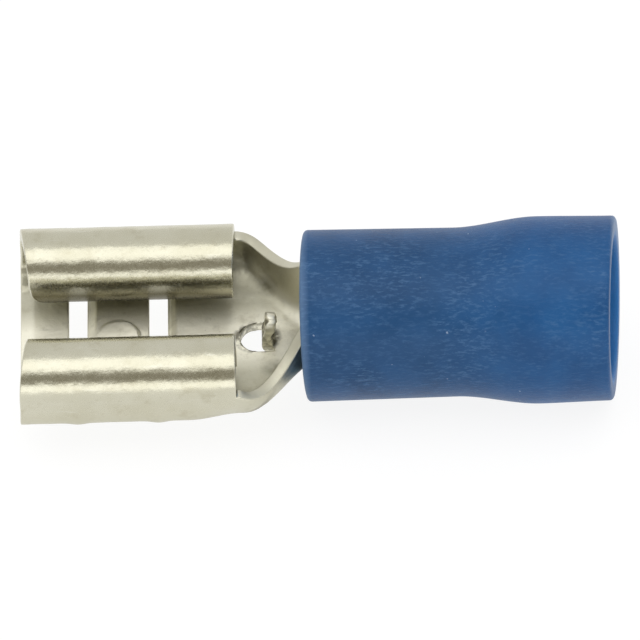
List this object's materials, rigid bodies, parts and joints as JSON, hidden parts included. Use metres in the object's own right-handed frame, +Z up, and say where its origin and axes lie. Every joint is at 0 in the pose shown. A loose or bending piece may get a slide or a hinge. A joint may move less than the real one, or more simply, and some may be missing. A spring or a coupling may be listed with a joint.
{
  "type": "female spade terminal",
  "caption": "Insulated female spade terminal: rolled tinned-brass socket for a 6.3 x 0.8 mm blade, narrowing to a crimp barrel in a flared blue vinyl sleeve.",
  "frame": {"origin": "under the middle of the part, at the height of the sleeve's lowest line", "axes": "+X from the socket's mouth to the wire entry, +Z up out of the socket's open side, +Y across"},
  "size_m": [0.021, 0.0074, 0.0065],
  "materials": {
    "tinned_brass": "tin plated, satin, scuffed",
    "vinyl": "matte moulded vinyl, faintly streaked"
  },
  "bodies": {
    "root": {"metal_contact": "tinned_brass", "insulating_sleeve": "vinyl"}
  },
  "joints": []
}
